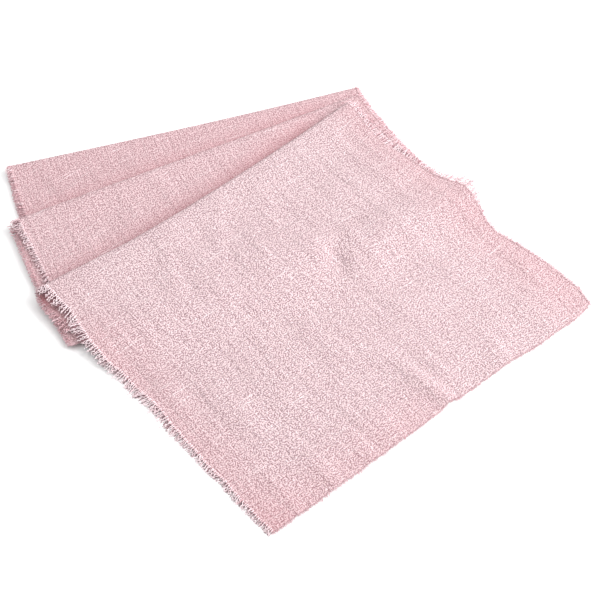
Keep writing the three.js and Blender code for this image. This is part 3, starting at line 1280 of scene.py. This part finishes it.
@dataclass(frozen=True)
class ThreadFinish:
    """Loose cotton thread, deep below as painted shade, rosy where it is soft and pale where it
    stands free.
    """

    # deep is painted shade: the dark tone of the under threads in the gaps of the fringe
    deep: Colour = (0.26, 0.13, 0.155, 1.0)
    rose: Colour = (0.71, 0.43, 0.465, 1.0)
    pale: Colour = (0.93, 0.785, 0.815, 1.0)
    relief: float = 0.2
    roughness: float = 0.9
    sheen: float = 0.1
    specular: float = 0.2

    def material(self, effects: YarnEffects) -> Material:
        """Build the material.

        Args:
            effects: The shared node groups.

        Returns:
            The threads' material.
        """
        material, bench, shader = new_material("frayed_thread")
        run = bench.add("ShaderNodeUVMap", {"uv_map": "thread_run"}).outputs[0]
        tone = bench.add("ShaderNodeAttribute", {"attribute_name": "thread_tone"}).outputs["Fac"]
        fibre = FIBRE.mask(bench, effects, run)
        shades = bench.add("ShaderNodeValToRGB", {}, tone)
        shades.color_ramp.elements[0].color = self.deep
        shades.color_ramp.elements[1].color = self.pale
        shades.color_ramp.elements.new(0.5).color = self.rose
        depth = self.relief * MM
        bump = bench.add("ShaderNodeBump", {}, Strength=0.6, Distance=depth, Height=fibre)
        bench.fill(
            shader,
            Base_Color=shades.outputs[0],
            Normal=bump.outputs[0],
            Roughness=self.roughness,
            Sheen_Weight=self.sheen,
            Specular_IOR_Level=self.specular,
        )
        return material


@dataclass(frozen=True)
class FloorFinish:
    """A plain matt white studio floor."""

    colour: Colour = (0.93, 0.93, 0.93, 1.0)

    def material(self) -> Material:
        """Build the material.

        Returns:
            The floor's material.
        """
        material, bench, shader = new_material("studio_white")
        bench.fill(shader, Base_Color=self.colour, Roughness=1.0, Specular_IOR_Level=0.0)
        return material


# ---- studio


@dataclass(frozen=True)
class SoftBox:
    """A square soft light that faces the middle of the floor, in metres and watts."""

    name: str
    power: float
    place: tuple[float, float, float]
    size: float


@dataclass
class Studio:
    """The plain floor, the soft lights and the camera, in metres."""

    floor_size: float = 6.0
    floor_sink: float = 0.0002
    lens: float = 84.0
    sensor: float = 36.0
    aim: tuple[float, float] = (0.1672, 0.1622)
    heading: tuple[float, float] = (0.6414, 0.7672)
    elevation: float = 50.5
    distance: float = 1.2078
    sky: float = 0.56
    key: SoftBox = SoftBox("key_softbox", 72.0, (1.27, -1.25, 1.28), 1.6)
    top: SoftBox = SoftBox("top_softbox", 22.0, (0.0, 0.2, 2.0), 2.0)

    def build_floor(self) -> Piece:
        """Build the floor, which isn't part of the object.

        Returns:
            The floor.
        """
        bpy.ops.mesh.primitive_plane_add(size=self.floor_size, location=(0, 0, -self.floor_sink))
        floor = bpy.context.active_object
        floor.name = "studio_floor"
        floor.data.materials.append(FloorFinish().material())
        floor.select_set(False)
        return floor

    def light(self) -> None:
        """Light the scene with a pale surround and two soft lights, at the right and overhead."""
        world = bpy.data.worlds.new("studio_surround")
        world.use_nodes = True
        surround = world.node_tree.nodes["Background"]
        surround.inputs["Color"].default_value = (1.0, 1.0, 1.0, 1.0)
        surround.inputs["Strength"].default_value = self.sky
        bpy.context.scene.world = world
        for box in (self.key, self.top):
            lamp = bpy.data.lights.new(box.name, "AREA")
            lamp.energy = box.power
            lamp.size = box.size
            light = bpy.data.objects.new(box.name, lamp)
            light.location = box.place
            light.rotation_euler = (-Vector(box.place)).to_track_quat("-Z", "Y").to_euler()
            bpy.context.collection.objects.link(light)

    def set_camera(self, place: Vector) -> None:
        """Stand the camera where the photograph was taken from.

        Args:
            place: How far the part's own coordinates are moved, in metres.
        """
        rise = math.radians(self.elevation)
        level = self.distance * math.cos(rise)
        aim = Vector((self.aim[0] + place.x, self.aim[1] + place.y, 0.0))
        back = Vector((-self.heading[0] * level, -self.heading[1] * level))
        stand = aim + back.to_3d() + Vector((0.0, 0.0, self.distance * math.sin(rise)))
        lens = bpy.data.cameras.new("photo_camera")
        lens.lens = self.lens
        lens.sensor_width = self.sensor
        camera = bpy.data.objects.new("photo_camera", lens)
        camera.location = stand
        camera.rotation_euler = (aim - stand).to_track_quat("-Z", "Y").to_euler()
        bpy.context.collection.objects.link(camera)
        scene = bpy.context.scene
        scene.camera = camera
        scene.view_settings.view_transform = "Standard"


# ---- the runner


# The under threads' deep tone paints the shade in the gaps between the pale upper threads.
UNDER = ThreadLayer(
    pitch=0.75, thread=0.6, reach=0.8, shortest=0.7, curl=0.25, lift=-0.1, tone=0.05, points=6
)
UPPER = ThreadLayer(
    pitch=1.9, thread=1.0, reach=1.0, shortest=0.65, curl=0.6, lift=0.9, tone=1.0, points=12
)
FUZZ_UNDER = ThreadLayer(
    pitch=0.9, thread=0.6, reach=0.6, shortest=0.2, curl=0.3, lift=0.0, tone=0.4, points=4
)
FUZZ = ThreadLayer(
    pitch=1.4, thread=0.7, reach=1.0, shortest=0.1, curl=0.6, lift=0.3, tone=0.7, points=7
)


@dataclass
class TableRunner:
    """The cloth, its two frayed long edges and the fuzz of its free end."""

    cloth: GauzeCloth = field(default_factory=GauzeCloth)
    free_end_inset: float = 10.95
    free_end_gap: float = 0.3
    free_end_thread: float = 4.0
    free_end_comb: float = 0.5

    def place(self) -> Vector:
        """Return how far the frame moves the part's own coordinates, in metres.

        The free end's strip starts at a known x and ends at a known y of those coordinates.

        Returns:
            The distance, along the table.
        """
        low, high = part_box("fringe_free_end")
        return Vector((low.x - self.free_end_inset * MM, high.y + self.free_end_gap * MM, 0.0))

    def fringe_nodes(self, word: str) -> list[str]:
        """Return the frame's fringe nodes with a word in their name."""
        return [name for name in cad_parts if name.startswith(f"fringe_{word}")]

    def build(self, floor: Piece) -> list[Piece]:
        """Build and dress every piece.

        Args:
            floor: What the runner lies on; not used.

        Returns:
            The pieces, the cloth first.
        """
        place = self.place()
        effects = YarnEffects()
        gauze = self.cloth.build(place)
        gauze.data.materials.append(GauzeFinish().material(effects))
        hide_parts("runner_cloth")
        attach(gauze, BODY)

        thread_material = ThreadFinish().material(effects)
        threads = []
        for fringe, word, edge in self._edges():
            piece = fringe.build(edge, place)
            piece.data.materials.append(thread_material)
            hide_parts(*self.fringe_nodes(word))
            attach(piece, BODY)
            threads.append(piece)
        return [gauze, *threads]

    def _edges(self) -> list[tuple[FrayedThreads, str, FrayedEdge]]:
        """Return the frayed edges.

        Returns:
            The threads of each edge, the word in its nodes' names, and the edge.
        """
        edges = []
        for side in Side:
            word = side.name.lower()
            layers, seed = (UNDER, UPPER), EDGE_SEEDS[side]
            threads = FrayedThreads(f"{word}_threads", layers, seed, TUFTS[side])
            edges.append((threads, word, self.cloth.frayed_edge(side)))
        fuzz = FrayedThreads("free_end_fuzz", (FUZZ_UNDER, FUZZ), FUZZ_SEED)
        rows = self.cloth.rows
        lengths = np.full(self.cloth.columns + 1, self.free_end_thread)
        combs = np.full(self.cloth.columns + 1, self.free_end_comb)
        free_end = FrayedEdge(rows[0], rows[self.cloth.edge_inside], lengths, combs)
        return [*edges, (fuzz, "free_end", free_end)]


def main() -> None:
    """Build the studio and the runner, and report each piece."""
    logging.basicConfig(level=logging.INFO, format="%(name)s: %(message)s")
    bpy.ops.object.select_all(action="DESELECT")
    studio = Studio()
    floor = studio.build_floor()
    studio.light()
    runner = TableRunner()
    studio.set_camera(runner.place())
    LOG.info("mean length of the cloth %.1f mm", float(runner.cloth.lengths[-1].mean()))
    for piece in runner.build(floor):
        LOG.info("%s: %d faces", piece.name, len(piece.data.polygons))


if __name__ == "__main__":
    main()
